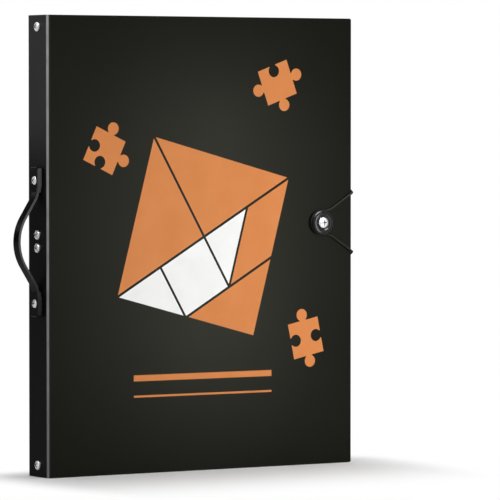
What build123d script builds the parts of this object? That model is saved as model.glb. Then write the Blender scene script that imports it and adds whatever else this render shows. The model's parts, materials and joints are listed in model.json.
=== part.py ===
from build123d import *
import os
from math import cos, pi, radians, tan

# A screw-bound storage case for finished jigsaw puzzles. It is closed and stands on its bottom edge.
# Two covers fold about the two long edges of a flat spine, which carries a strap handle. Inside, two
# rails hold sixteen leaves, and an elastic cord hooks over a button to keep the covers shut.
#
# Millimetres. +Z is up, +X runs from the spine to the fore edge, the front cover faces -Y.
# The origin is the middle of the spine panel's bottom edge, half way through its thickness.

# ---------------------------------------------------------------- driving dimensions
# Case
case_height = 450.0
case_width = 352.0  # spine's outer face to fore edge
case_depth = 40.0  # outer face to outer face, closed
board = 3.0  # thickness of the covers and the spine
fold_radius = 3.0  # outer radius of the rounded folds
fold_web = 1.0  # thickness of the sheet in a fold
corner_radius = 2.0  # covers' corners at the fore edge
edge_round = 0.4  # softened outer edges of the covers

# Leaves
leaf_count = 16
leaf_pitch = 2.0
leaf_width = 333.0
leaf_height = 440.0
leaf_sheet = 0.6  # white backing sheet
leaf_film = 0.12  # one clear pocket film
leaf_corner = 4.0
pocket_margin = 12.0  # white margin between the hinge and the pocket
pocket_border = 3.0  # backing left bare at the fore edge and the bottom
pocket_mouth = 7.0  # backing left bare above the pocket's open top

# Binding rails
rail_end_gap = 5.0  # between a rail and the case's end
rail_gap = 1.0  # between the upper and the lower rail
rail_base = 1.5
rail_side_gap = 0.5  # between the rail and each cover
rib_thickness = 1.0
rib_height = 3.0  # outermost rib, above the rail's base
rib_step = 1.0  # each rib nearer the middle is this much taller
rib_break = 14.0  # length left free of ribs round each screw
hinge_gap = 0.05  # between a rib's top and its leaf

# Screws through the spine
screw_shank_radius = 2.0
screw_head_radius = 4.6
screw_head_height = 2.0
head_edge_share = 0.45  # of a head's height, upright below its cone
head_top_share = 0.68  # of a head's radius, flat above its cone
screw_hole_gap = 0.15  # radial
recess_length = 5.2  # cross recess, tip to tip
recess_width = 1.3
recess_depth = 1.1
nut_across_flats = 7.0
nut_height = 3.2
nut_bore_gap = 0.05  # radial
screw_tail = 0.6  # shank showing past its nut
outer_screw_inset = 11.5  # top and bottom screws, from the case's ends
middle_screw_height = 229.7  # middle of the pair
middle_screw_pitch = 12.8

# Handle
handle_height = 229.3  # middle of the handle
handle_screw_pitch = 120.0
strap_width = 11.0
strap_thickness = 2.5
strap_reach = 24.4  # strap's outer face off the spine, at its middle
strap_lean = 32.0  # degrees from upright, on the strap's straight flanks
strap_round = 0.6
strap_root_cut = 2.0  # how far inside the lug's end the flank's line begins
strap_root_radius = 24.0  # where a flank bends into its lug
lug_width = 16.0
lug_thickness = 4.4
lug_inner_end = 48.2  # from the handle's middle
lug_outer_end = 73.0
lug_taper = 7.0  # length over which the lug widens from the strap
lug_corner = 3.5
lug_bevel = 0.8
lug_seat = 1.4  # material under the screw head
lug_head_gap = 0.5  # radial, round the sunken screw head

# Closure
button_inset = 37.0  # from the fore edge
button_height = 244.0
button_radius = 12.25
button_rim = 2.4  # width of the raised rim
button_rim_height = 3.2
button_dish_height = 2.2
button_edge = 1.0  # how far the rim overhangs the disc's flat underside
button_widest_share = 0.4  # of the rim's height, where the button is widest
neck_radius = 10.4
neck_height = 3.0
button_screw_head_radius = 5.2
button_screw_head_height = 1.8
inner_nut_radius = 5.5
inner_nut_height = 1.0
cord_radius = 1.0
eyelet_inset = 18.0  # from the fore edge
eyelet_offset = 63.0  # above and below the button
eyelet_radius = 3.2
eyelet_bore_radius = 1.5
eyelet_wall = 0.4
eyelet_lip = 0.5
clip_radius = 2.8
clip_height = 1.2
clip_bore_gap = 0.05  # radial

# ---------------------------------------------------------------- places worked out from them
half_depth = case_depth / 2
spine_out = -board / 2
spine_in = board / 2
fore_edge = spine_out + case_width
fold_start = spine_out + fold_radius  # where a cover begins
spine_half = half_depth - fold_radius  # where the spine panel ends
cover_in = half_depth - board  # inner faces of the covers
rail_half = cover_in - rail_side_gap
rail_top = spine_in + rail_base
leaf_foot = rail_end_gap  # the leaves' feet are level with the lower rail's
button_x = fore_edge - button_inset
screw_hole_radius = screw_shank_radius + screw_hole_gap

lower_screws = (outer_screw_inset, middle_screw_height - middle_screw_pitch / 2)
upper_screws = (middle_screw_height + middle_screw_pitch / 2, case_height - outer_screw_inset)
spine_screw_heights = lower_screws + upper_screws
handle_screw_heights = (
    handle_height - handle_screw_pitch / 2,
    handle_height + handle_screw_pitch / 2,
)
all_screw_heights = spine_screw_heights + handle_screw_heights

# The leaves stand side by side across the spine. Each rib is one step taller than its outer
# neighbour, so that turned leaves lie on one another like the pages of a book.
leaf_places = [(i - (leaf_count - 1) / 2) * leaf_pitch for i in range(leaf_count)]
rib_tops = [
    rail_top + rib_height + rib_step * min(i, leaf_count - 1 - i) for i in range(leaf_count)
]

# Work planes, looking at the part from outside it
spine_face = Plane(origin=(spine_out, 0, 0), x_dir=(0, -1, 0), z_dir=(-1, 0, 0))
button_plane = Plane(
    origin=(button_x, -half_depth, button_height), x_dir=(1, 0, 0), z_dir=(0, -1, 0)
)

eyelet_planes = [
    Plane(
        origin=(fore_edge - eyelet_inset, half_depth, button_height + side * eyelet_offset),
        x_dir=(-1, 0, 0),
        z_dir=(0, 1, 0),
    )
    for side in (-1, 1)
]

os.makedirs("parts", exist_ok=True)


def cross_recess_screw(shank_length, head_radius, head_height):
    """A pan-head screw that stands on Z = 0: its head above, its shank below."""
    with BuildPart() as screw:
        with BuildSketch(Plane.XZ):
            with BuildLine():
                Polyline(
                    (0, head_height),
                    (0, -shank_length),
                    (screw_shank_radius, -shank_length),
                    (screw_shank_radius, 0),
                    (head_radius, 0),
                    (head_radius, head_height * head_edge_share),
                    (head_radius * head_top_share, head_height),
                    close=True,
                )
            make_face()
        revolve(axis=Axis.Z)
        with BuildSketch(Plane.XY.offset(head_height)):
            Rectangle(recess_length, recess_width)
            Rectangle(recess_width, recess_length)
        extrude(amount=-recess_depth, mode=Mode.SUBTRACT)
    return screw.part


def hex_nut():
    """A hexagon nut that stands on Z = 0, its bore along Z."""
    with BuildPart() as nut:
        with BuildSketch():
            RegularPolygon(nut_across_flats / 2, 6, major_radius=False)
            Circle(screw_shank_radius + nut_bore_gap, mode=Mode.SUBTRACT)
        extrude(amount=nut_height)
    return nut.part


# ---------------------------------------------------------------- folded cover
with BuildPart() as spine_panel:
    with BuildSketch(Plane.XY):
        Rectangle(board, 2 * spine_half)
    extrude(amount=case_height)
    with Locations(*[spine_face.location * Location((0, z, 0)) for z in all_screw_heights]):
        Hole(screw_hole_radius, depth=board)
spine_panel.part.label = "spine_panel"
export_step(spine_panel.part, "parts/spine_panel.step")

# Each fold is a thinned, rounded web between the spine and a cover.
for name, side, first_angle in (("front_fold", -1, 180), ("back_fold", 1, 90)):
    with BuildPart() as fold:
        with BuildSketch(Plane.XY):
            with BuildLine():
                centre = (fold_start, side * spine_half)
                outer = CenterArc(centre, fold_radius, first_angle, 90)
                inner = CenterArc(centre, fold_radius - fold_web, first_angle, 90)
                Line(outer @ 0, inner @ 0)
                Line(outer @ 1, inner @ 1)
            make_face()
        extrude(amount=case_height)
    fold.part.label = name
    export_step(fold.part, f"parts/{name}.step")


def cover_board(side):
    """A plain cover with a softened rim: side -1 is the front one, side 1 the back one."""
    low_y = -half_depth if side < 0 else cover_in
    with BuildPart() as blank:
        with BuildSketch(Plane.XZ.offset(-low_y)):
            with BuildLine():
                rim = FilletPolyline(
                    (fold_start, 0),
                    (fore_edge, 0),
                    (fore_edge, case_height),
                    (fold_start, case_height),
                    radius=corner_radius,
                )
                Line(rim @ 1, rim @ 0)
            make_face()
        extrude(amount=-board)
        outer_face = blank.faces().sort_by(Axis.Y)[0 if side < 0 else -1]
        fillet(outer_face.edges().sort_by(Axis.X)[1:], edge_round)
    return blank.part


front_blank = cover_board(-1)
with BuildPart() as front_cover:
    add(front_blank)
    with Locations(button_plane.location):
        Hole(screw_hole_radius, depth=board)
front_cover.part.label = "front_cover"
export_step(front_cover.part, "parts/front_cover.step")

back_blank = cover_board(1)
with BuildPart() as back_cover:
    add(back_blank)
    with Locations(*[plane.location for plane in eyelet_planes]):
        Hole(eyelet_bore_radius + eyelet_wall, depth=board)
back_cover.part.label = "back_cover"
export_step(back_cover.part, "parts/back_cover.step")

# ---------------------------------------------------------------- binding rails
# A rail is a flat base with one thin rib under each leaf. The ribs are broken round every screw.
middle_low = middle_screw_height - rail_gap / 2
middle_high = middle_screw_height + rail_gap / 2
for name, rail_foot, rail_head in (
    ("lower_binding_rail", rail_end_gap, middle_low),
    ("upper_binding_rail", middle_high, case_height - rail_end_gap),
):
    screws = sorted(z for z in all_screw_heights if rail_foot < z < rail_head)
    with BuildPart() as rail:
        with BuildSketch(Plane.XY.offset(rail_foot)):
            with Locations((spine_in + rail_base / 2, 0)):
                Rectangle(rail_base, 2 * rail_half)
        extrude(amount=rail_head - rail_foot)
        for low, high in zip(screws, screws[1:]):
            with BuildSketch(Plane.XY.offset(low + rib_break / 2)):
                for place, top in zip(leaf_places, rib_tops):
                    with Locations(((rail_top + top) / 2, place)):
                        Rectangle(top - rail_top, rib_thickness)
            extrude(amount=high - low - rib_break)
        with Locations(*[spine_face.location * Location((0, z, -board)) for z in screws]):
            Hole(screw_hole_radius, depth=rail_base)
    rail.part.label = name
    export_step(rail.part, f"parts/{name}.step")

# ---------------------------------------------------------------- screws and nuts through the spine
clamped = board + rail_base
spine_screw = cross_recess_screw(
    clamped + nut_height + screw_tail, screw_head_radius, screw_head_height
)
handle_screw = cross_recess_screw(
    lug_seat + clamped + nut_height + screw_tail, screw_head_radius, screw_head_height
)
nut = hex_nut()

with BuildPart() as spine_screws:
    with Locations(*[spine_face.location * Location((0, z, 0)) for z in spine_screw_heights]):
        add(spine_screw)
spine_screws.part.label = "spine_screws"
export_step(spine_screws.part, "parts/spine_screws.step")

with BuildPart() as handle_screws:
    with Locations(
        *[spine_face.location * Location((0, z, lug_seat)) for z in handle_screw_heights]
    ):
        add(handle_screw)
handle_screws.part.label = "handle_screws"
export_step(handle_screws.part, "parts/handle_screws.step")

nut_seat = -(clamped + nut_height)
for name, heights in (
    ("spine_screw_nuts", spine_screw_heights),
    ("handle_screw_nuts", handle_screw_heights),
):
    with BuildPart() as nuts:
        with Locations(*[spine_face.location * Location((0, z, nut_seat)) for z in heights]):
            add(nut)
    nuts.part.label = name
    export_step(nuts.part, f"parts/{name}.step")

# ---------------------------------------------------------------- carry handle
# The strap follows one line in the spine's upright mid-plane: from the lug, out along a straight
# flank, round a wide crown and back. The flanks meet at a corner, and the crown rounds that corner
# just enough to end at the strap's reach.
root_x = spine_out - lug_thickness / 2
flank_foot = lug_inner_end - strap_root_cut
corner_x = root_x - flank_foot * tan(radians(strap_lean))
crown_x = spine_out - strap_reach + strap_thickness / 2
crown_radius = (crown_x - corner_x) / (1 / cos(radians(strap_lean)) - 1)
lug_middle = (lug_inner_end + lug_outer_end) / 2
lug_length = lug_outer_end - lug_inner_end

with BuildPart() as lug_blanks:
    for side in (-1, 1):
        with BuildSketch(spine_face):
            with BuildLine():
                lug_line = FilletPolyline(
                    (strap_width / 2, handle_height + side * lug_inner_end),
                    (lug_width / 2, handle_height + side * (lug_inner_end + lug_taper)),
                    (lug_width / 2, handle_height + side * lug_outer_end),
                    (-lug_width / 2, handle_height + side * lug_outer_end),
                    (-lug_width / 2, handle_height + side * (lug_inner_end + lug_taper)),
                    (-strap_width / 2, handle_height + side * lug_inner_end),
                    radius=lug_corner,
                )
                Line(lug_line @ 1, lug_line @ 0)
            make_face()
        extrude(amount=lug_thickness)
    for lug_face in lug_blanks.faces().sort_by(Axis.X)[:2]:
        chamfer(lug_face.edges(), lug_bevel)

with BuildPart() as carry_handle:
    with BuildSketch(Plane.XZ):
        with BuildLine() as strap_line:
            FilletPolyline(
                (root_x, handle_height - lug_middle),
                (root_x, handle_height - flank_foot),
                (corner_x, handle_height),
                (root_x, handle_height + flank_foot),
                (root_x, handle_height + lug_middle),
                radius=(strap_root_radius, crown_radius, strap_root_radius),
            )
        trace(strap_line.line, line_width=strap_thickness)
    extrude(amount=strap_width / 2, both=True)
    fillet(carry_handle.edges().group_by(SortBy.LENGTH)[-1], strap_round)
    add(lug_blanks.part)
    with Locations(
        *[spine_face.location * Location((0, z, lug_thickness)) for z in handle_screw_heights]
    ):
        CounterBoreHole(
            screw_hole_radius,
            screw_head_radius + lug_head_gap,
            lug_thickness - lug_seat,
            depth=lug_thickness,
        )
carry_handle.part.label = "carry_handle"
export_step(carry_handle.part, "parts/carry_handle.step")

# ---------------------------------------------------------------- closure button
with BuildPart() as button_neck:
    with BuildSketch(button_plane):
        Circle(neck_radius)
        Circle(screw_hole_radius, mode=Mode.SUBTRACT)
    extrude(amount=neck_height)
button_neck.part.label = "button_neck"
export_step(button_neck.part, "parts/button_neck.step")

# The button's half outline, turned about its own axis: a dished disc inside a rounded rim.
with BuildPart() as button_disc:
    with BuildSketch(Plane.XZ):
        with BuildLine():
            rim_crown = button_radius - button_rim / 2
            rim_inside = button_radius - button_rim
            Line((screw_hole_radius, 0), (button_radius - button_edge, 0))
            ThreePointArc(
                (button_radius - button_edge, 0),
                (button_radius, button_rim_height * button_widest_share),
                (rim_crown, button_rim_height),
            )
            Line((rim_crown, button_rim_height), (rim_inside, button_dish_height))
            Line((rim_inside, button_dish_height), (screw_hole_radius, button_dish_height))
            Line((screw_hole_radius, button_dish_height), (screw_hole_radius, 0))
        make_face()
    revolve(axis=Axis.Z)
with BuildPart() as closure_button:
    with Locations(button_plane.location * Location((0, 0, neck_height))):
        add(button_disc.part)
closure_button.part.label = "closure_button"
export_step(closure_button.part, "parts/closure_button.step")

button_stack = board + neck_height + button_dish_height
closing_screw = cross_recess_screw(
    button_stack + inner_nut_height, button_screw_head_radius, button_screw_head_height
)
with BuildPart() as button_screw:
    with Locations(button_plane.location * Location((0, 0, neck_height + button_dish_height))):
        add(closing_screw)
button_screw.part.label = "button_screw"
export_step(button_screw.part, "parts/button_screw.step")

with BuildPart() as button_nut:
    with BuildSketch(button_plane.offset(-board - inner_nut_height)):
        Circle(inner_nut_radius)
        Circle(screw_shank_radius + nut_bore_gap, mode=Mode.SUBTRACT)
    extrude(amount=inner_nut_height)
button_nut.part.label = "button_nut"
export_step(button_nut.part, "parts/button_nut.step")

# ---------------------------------------------------------------- elastic cord and its anchors
with BuildPart() as cord_eyelets:
    for plane in eyelet_planes:
        with BuildSketch(plane.offset(-board)):
            Circle(eyelet_bore_radius + eyelet_wall)
        extrude(amount=board)
        with BuildSketch(plane):
            Circle(eyelet_radius)
        extrude(amount=eyelet_lip)
        with BuildSketch(plane.offset(-board)):
            Circle(eyelet_bore_radius)
        extrude(amount=board + eyelet_lip, mode=Mode.SUBTRACT)
cord_eyelets.part.label = "cord_eyelets"
export_step(cord_eyelets.part, "parts/cord_eyelets.step")

with BuildPart() as cord_end_clips:
    for plane in eyelet_planes:
        with BuildSketch(plane.offset(-board - clip_height)):
            Circle(clip_radius)
            Circle(cord_radius + clip_bore_gap, mode=Mode.SUBTRACT)
        extrude(amount=clip_height)
cord_end_clips.part.label = "cord_end_clips"
export_step(cord_end_clips.part, "parts/cord_end_clips.step")

# The cord's route, from its upper end inside the back cover to its lower one: out through the
# eyelet, round both fore edges, round the button's neck and back the same way. Each point has the
# radius of its bend. The cord is pulled tight round the covers' edges, so its bends there are small.
cord_start = (332.5, 15.8, 307.0)
cord_bends = [
    ((332.5, 21.2, 307.0), 2.2),
    ((334.6, 22.2, 306.0), 4.0),
    ((350.7, 21.7, 297.3), 2.4),
    ((352.1, 20.3, 296.2), 2.4),
    ((352.1, -20.3, 274.5), 2.4),
    ((350.7, -21.7, 273.4), 2.4),
    ((322.6, -21.4, 255.7), 14.0),
    ((306.8, -21.4, 255.6), 11.4),
    ((300.1, -21.4, 244.0), 11.4),
    ((306.8, -21.4, 232.4), 11.4),
    ((322.6, -21.4, 232.3), 14.0),
    ((350.7, -21.7, 214.6), 2.4),
    ((352.1, -20.3, 213.5), 2.4),
    ((352.1, 20.3, 191.8), 2.4),
    ((350.7, 21.7, 190.7), 2.4),
    ((334.6, 22.2, 182.0), 4.0),
    ((332.5, 21.2, 181.0), 2.2),
]
cord_end = (332.5, 15.8, 181.0)
cord_route = [cord_start] + [point for point, radius in cord_bends] + [cord_end]
bend_radii = [radius for point, radius in cord_bends]
print("cord bends, mm:", bend_radii)

with BuildPart() as elastic_cord:
    with BuildLine():
        cord_path = FilletPolyline(*cord_route, radius=bend_radii)
    with BuildSketch(Plane(origin=cord_path @ 0, z_dir=cord_path % 0)):
        Circle(cord_radius)
    sweep(path=cord_path)
tube_volume = pi * cord_radius**2 * cord_path.length
print("cord length, mm:", round(cord_path.length, 1))
print("volume over section times length:", round(elastic_cord.part.volume / tube_volume, 4))
elastic_cord.part.label = "elastic_cord"
export_step(elastic_cord.part, "parts/elastic_cord.step")

# ---------------------------------------------------------------- leaves
# A leaf is a stiff white sheet with a clear film on each face. Each film is sealed to the sheet
# along its sides and foot, and open at the top, where the puzzle goes in.
for number, (place, rib_top) in enumerate(zip(leaf_places, rib_tops), start=1):
    leaf_start = rib_top + hinge_gap
    leaf_end = leaf_start + leaf_width
    backing_name = f"leaf_{number:02d}_backing"
    with BuildPart() as backing:
        with BuildSketch(Plane.XZ.offset(leaf_sheet / 2 - place)):
            with BuildLine():
                edge = FilletPolyline(
                    (leaf_start, leaf_foot),
                    (leaf_end, leaf_foot),
                    (leaf_end, leaf_foot + leaf_height),
                    (leaf_start, leaf_foot + leaf_height),
                    radius=leaf_corner,
                )
                Line(edge @ 1, edge @ 0)
            make_face()
        extrude(amount=-leaf_sheet)
    backing.part.label = backing_name
    export_step(backing.part, f"parts/{backing_name}.step")

    pocket_name = f"leaf_{number:02d}_pockets"
    pocket_low = leaf_foot + pocket_border
    pocket_high = leaf_foot + leaf_height - pocket_mouth
    pocket_start = leaf_start + pocket_margin
    pocket_end = leaf_end - pocket_border
    with BuildPart() as pockets:
        for film_middle in (
            place - (leaf_sheet + leaf_film) / 2,
            place + (leaf_sheet + leaf_film) / 2,
        ):
            with Locations(
                ((pocket_start + pocket_end) / 2, film_middle, (pocket_low + pocket_high) / 2)
            ):
                Box(pocket_end - pocket_start, leaf_film, pocket_high - pocket_low)
    pockets.part.label = pocket_name
    export_step(pockets.part, f"parts/{pocket_name}.step")
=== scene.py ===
# %% [markdown]
# # A screw-bound storage case for jigsaw puzzles
#
# The real object is one sheet of black polypropylene, folded into a flat spine and two covers. A
# strap handle is screwed to the spine, an elastic cord hooks over a button at the fore edge, and
# sixteen white leaves with clear pockets stand inside. The solids come ready made, in metres, so
# this lesson gives them their finishes and adds what is soft, printed or finely moulded.

import json
from math import asin, cos, hypot, pi, radians, sin

import bmesh
import bpy
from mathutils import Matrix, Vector

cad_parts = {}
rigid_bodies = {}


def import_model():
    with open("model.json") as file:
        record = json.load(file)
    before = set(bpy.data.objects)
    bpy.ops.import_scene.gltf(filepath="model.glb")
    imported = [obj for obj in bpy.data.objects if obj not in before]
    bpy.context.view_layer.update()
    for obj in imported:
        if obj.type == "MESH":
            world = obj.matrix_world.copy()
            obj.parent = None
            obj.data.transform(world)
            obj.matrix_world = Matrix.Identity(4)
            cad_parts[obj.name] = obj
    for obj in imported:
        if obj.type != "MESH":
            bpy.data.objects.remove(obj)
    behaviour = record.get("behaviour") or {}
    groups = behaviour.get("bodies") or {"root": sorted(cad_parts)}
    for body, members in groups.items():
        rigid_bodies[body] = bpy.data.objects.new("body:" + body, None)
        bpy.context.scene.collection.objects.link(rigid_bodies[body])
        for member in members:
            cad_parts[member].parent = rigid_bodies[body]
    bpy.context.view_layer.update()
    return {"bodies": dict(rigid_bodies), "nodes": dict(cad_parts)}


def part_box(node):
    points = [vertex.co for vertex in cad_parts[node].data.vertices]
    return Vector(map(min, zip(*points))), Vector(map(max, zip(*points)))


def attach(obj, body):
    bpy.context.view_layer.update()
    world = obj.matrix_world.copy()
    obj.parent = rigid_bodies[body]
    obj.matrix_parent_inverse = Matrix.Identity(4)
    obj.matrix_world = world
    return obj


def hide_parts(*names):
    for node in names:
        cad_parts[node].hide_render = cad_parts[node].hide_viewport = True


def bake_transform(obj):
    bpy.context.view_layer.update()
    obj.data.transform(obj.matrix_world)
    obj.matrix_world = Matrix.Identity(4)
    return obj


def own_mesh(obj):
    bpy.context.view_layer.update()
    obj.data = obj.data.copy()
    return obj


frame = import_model()
nodes = frame["nodes"]
MM = 0.001
print("pieces in the frame:", len(nodes))

# %% [markdown]
# ## Sizes read from the frame
# Everything that is added has to sit on the case, so its places come from the case's own boxes:
# the front cover's outer face, the spine's outer face and the button's middle.

# %% Places on the case
case_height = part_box("spine_panel")[1].z
front_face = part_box("front_cover")[0].y
back_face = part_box("back_cover")[1].y
spine_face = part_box("spine_panel")[0].x
fore_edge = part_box("front_cover")[1].x
button_low, button_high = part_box("closure_button")
button_middle = (button_low + button_high) / 2
print("cover, m:", round(fore_edge, 4), "wide,", round(case_height, 4), "high")

# %% [markdown]
# ## Into the scene
# Whatever is made here, camera, lamp or piece, enters the scene in the same way.


# %% Scene helpers
def new_object(name, data):
    made = bpy.data.objects.new(name, data)
    bpy.context.scene.collection.objects.link(made)
    return made


def new_mesh(name, points, faces=()):
    mesh = bpy.data.meshes.new(name)
    mesh.from_pydata(points, [], faces)
    return mesh


# %% [markdown]
# ## Camera
# The case was photographed from far away with a long lens, about level with its middle, so its
# upright edges stay upright. A lens of 298 mm on a 36 mm sensor gives the same flat perspective.

# %% Camera at the photograph's angle
camera_place = Vector((-1.9628, -3.5219, 0.3614))
camera_turn = radians(32.05)
camera_dip = radians(1.99)
lens_length = 298.0


def make_camera():
    data = bpy.data.cameras.new("camera")
    data.lens = lens_length
    data.sensor_width = 36.0
    data.clip_end = 50.0
    camera = new_object("camera", data)
    level = cos(camera_dip)
    aim = Vector((sin(camera_turn) * level, cos(camera_turn) * level, -sin(camera_dip)))
    camera.rotation_euler = aim.to_track_quat("-Z", "Y").to_euler()
    camera.location = camera_place
    bpy.context.scene.camera = camera


make_camera()

# %% [markdown]
# ## A helper for node trees
# The world, the materials and the node-made shapes are all built from nodes. This helper adds a
# node and fills its sockets with plain values or with what other nodes put out, so that a formula
# reads as one line.


# %% Node helper
class TreeMaker:
    """Adds nodes to a tree and fills their sockets."""

    def __init__(self, tree):
        self.tree = tree

    def plug(self, owner, values):
        for key, value in dict(values).items():
            if isinstance(value, bpy.types.NodeSocket):
                self.tree.links.new(value, owner.inputs[key])
            elif value is not None:
                owner.inputs[key].default_value = value

    def node(self, kind, inputs=(), **settings):
        made = self.tree.nodes.new(kind)
        for key, value in settings.items():
            setattr(made, key, value)
        self.plug(made, inputs)
        return made

    def maths(self, operation, first, second=None):
        return self.node("ShaderNodeMath", {0: first, 1: second}, operation=operation).outputs[0]

    def ranged(self, value, start=0.0, end=1.0, low=0.0, high=1.0, **settings):
        """Maps start to end onto low to high."""
        ends = {"Value": value, "From Min": start, "From Max": end, "To Min": low, "To Max": high}
        return self.node("ShaderNodeMapRange", ends, **settings).outputs["Result"]

    def mixed(self, share, first, second):
        sides = {"Factor": share, "A": first, "B": second}
        return self.node("ShaderNodeMix", sides, data_type="FLOAT").outputs["Result"]

    def blended(self, share, first, second, **settings):
        """Mixes two colours."""
        sides = {"Factor": share, 6: first, 7: second}
        return self.node("ShaderNodeMix", sides, data_type="RGBA", **settings).outputs[2]

    def split(self, vector):
        return self.node("ShaderNodeSeparateXYZ", {0: vector}).outputs

    def vector(self, x=0.0, y=0.0, z=0.0):
        return self.node("ShaderNodeCombineXYZ", {0: x, 1: y, 2: z}).outputs[0]

    def vector_maths(self, operation, first, second=None):
        inputs = {0: first, 1: second}
        return self.node("ShaderNodeVectorMath", inputs, operation=operation).outputs

    def cylinder(self, sides, radius, length):
        values = {"Vertices": sides, "Radius": radius, "Depth": length}
        return self.node("GeometryNodeMeshCylinder", values).outputs[0]

    def boolean(self, operation, shapes, cut_from=None):
        settings = {"operation": operation, "solver": "EXACT"}
        made = self.node("GeometryNodeMeshBoolean", {"Mesh 1": cut_from}, **settings)
        for shape in shapes:
            self.tree.links.new(shape, made.inputs["Mesh 2"])
        return made.outputs["Mesh"]

    def moved(self, shape, offset=None, turn=None, scale=None):
        values = {"Geometry": shape, "Translation": offset, "Rotation": turn, "Scale": scale}
        return self.node("GeometryNodeTransform", values).outputs[0]

    def joined(self, *shapes):
        join = self.node("GeometryNodeJoinGeometry")
        for shape in shapes:
            self.tree.links.new(shape, join.inputs[0])
        return join.outputs[0]

    def finished(self, shape, material, leave, name):
        real = self.node("GeometryNodeRealizeInstances", {"Geometry": shape}).outputs[0]
        paint = self.node("GeometryNodeSetMaterial", {"Geometry": real, "Material": material})
        self.tree.links.new(paint.outputs[0], leave.inputs[name])


def add_socket(tree, name, kind, way, value=None):
    socket = tree.interface.new_socket(name=name, in_out=way, socket_type=kind)
    if value is not None:
        socket.default_value = value


def new_material(name):
    material = bpy.data.materials.new(name)
    material.use_nodes = True
    tree = material.node_tree
    return material, TreeMaker(tree), tree.nodes["Principled BSDF"]


# %% [markdown]
# ## Studio
# Black goods are photographed in white surroundings, with soft lamps that each do one thing and a
# dark flag that keeps a face black. The world does the surroundings: white to the camera, and
# bright in mirrors except in an upright band behind the spine's side, where the flag would stand.

# %% World
world_lamp_strength = 0.66
world_mirror_strength = 0.66
flag_strength = 0.02
flag_side = (-0.53, 0.85, 0.0)
flag_edges = (0.35, 0.85)


def plain_background():
    bpy.context.scene.view_settings.view_transform = "Standard"
    world = bpy.data.worlds.new("studio")
    bpy.context.scene.world = world
    world.use_nodes = True
    world.node_tree.nodes.clear()
    make = TreeMaker(world.node_tree)
    path = make.node("ShaderNodeLightPath").outputs

    def background(strength):
        white = {"Color": (1, 1, 1, 1), "Strength": strength}
        return make.node("ShaderNodeBackground", white).outputs[0]

    def choice(share, first, second):
        return make.node("ShaderNodeMixShader", {0: share, 1: first, 2: second}).outputs[0]

    # How nearly a direction points at the flag, whatever its height
    direction = make.node("ShaderNodeTexCoord").outputs["Generated"]
    level = make.vector_maths("MULTIPLY", direction, (1.0, 1.0, 0.0))["Vector"]
    unit = make.vector_maths("NORMALIZE", level)["Vector"]
    towards = make.vector_maths("DOT_PRODUCT", unit, flag_side)["Value"]
    flag = make.ranged(
        towards, *flag_edges, world_mirror_strength, flag_strength,
        interpolation_type="SMOOTHSTEP",
    )
    in_gloss = make.maths("MAXIMUM", path["Is Glossy Ray"], path["Is Transmission Ray"])
    lit = choice(in_gloss, background(world_lamp_strength), background(flag))
    seen = choice(path["Is Camera Ray"], lit, background(1.0))
    make.node("ShaderNodeOutputWorld", {"Surface": seen})


plain_background()

# %% [markdown]
# ## Floor
# The floor is matt white paper. Close to the case it shows the soft shadow that the case casts, and
# a short way off the camera sees it as plain white, so that no horizon crosses the picture. Beside
# and behind the case that way is shorter than in front.

# %% Floor paper
floor_half = 8.0
case_middle_x = fore_edge / 2
shadow_reach = (0.01, 0.3)
side_shortening = 3.5


def pale_floor():
    corners = [(-1, -1), (1, -1), (1, 1), (-1, 1)]
    points = [(x * floor_half, y * floor_half, 0) for x, y in corners]
    floor = new_object("floor", new_mesh("floor", points, [(0, 1, 2, 3)]))
    material, make, base = new_material("floor paper")
    base.inputs["Base Color"].default_value = (0.86, 0.86, 0.86, 1)
    base.inputs["Roughness"].default_value = 0.9
    base.inputs["Specular IOR Level"].default_value = 0.0
    glow = make.node("ShaderNodeEmission", {"Strength": 1.0}).outputs[0]
    maths = make.maths
    # Distance from the line on which the case stands
    place = make.split(make.node("ShaderNodeTexCoord").outputs["Object"])
    along = maths("ABSOLUTE", maths("SUBTRACT", place["X"], case_middle_x))
    past_end = maths("MAXIMUM", maths("SUBTRACT", along, case_middle_x), 0.0)
    beyond = maths("MULTIPLY", past_end, side_shortening)
    before = maths("MULTIPLY", place["Y"], -1.0)
    across = maths("MAXIMUM", before, maths("MULTIPLY", place["Y"], side_shortening))
    away = maths("SQRT", maths("ADD", maths("POWER", beyond, 2.0), maths("POWER", across, 2.0)))
    share = make.ranged(away, *shadow_reach, interpolation_type="SMOOTHERSTEP")
    seen = make.node("ShaderNodeLightPath").outputs["Is Camera Ray"]
    sides = {0: maths("MULTIPLY", seen, share), 1: base.outputs[0], 2: glow}
    mix = make.node("ShaderNodeMixShader", sides)
    make.plug(material.node_tree.nodes["Material Output"], {"Surface": mix.outputs[0]})
    floor.data.materials.append(material)


pale_floor()

# %% [markdown]
# ## Lamps
# Five soft lamps, each for one effect: a top light over the front for the print, a wide rim light
# high up that only glossy surfaces show, for the button's bright arc and the screws, a tall light
# that the front cover mirrors as a glow in its middle, a small one that the spine mirrors at its
# upper end, and a fill behind, so that the back cover isn't lost.


# %% Soft lamps
def soft_lamp(name, place, target, size, power, spread=180, lights_matt=True):
    data = bpy.data.lights.new(name, "AREA")
    data.shape = "RECTANGLE"
    data.size, data.size_y = size
    data.energy = power
    data.spread = radians(spread)
    lamp = new_object(name, data)
    lamp.location = place
    lamp.rotation_euler = (Vector(target) - Vector(place)).to_track_quat("-Z", "Y").to_euler()
    lamp.visible_camera = False
    lamp.visible_diffuse = lights_matt
    print(name, "W:", power)


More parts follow.
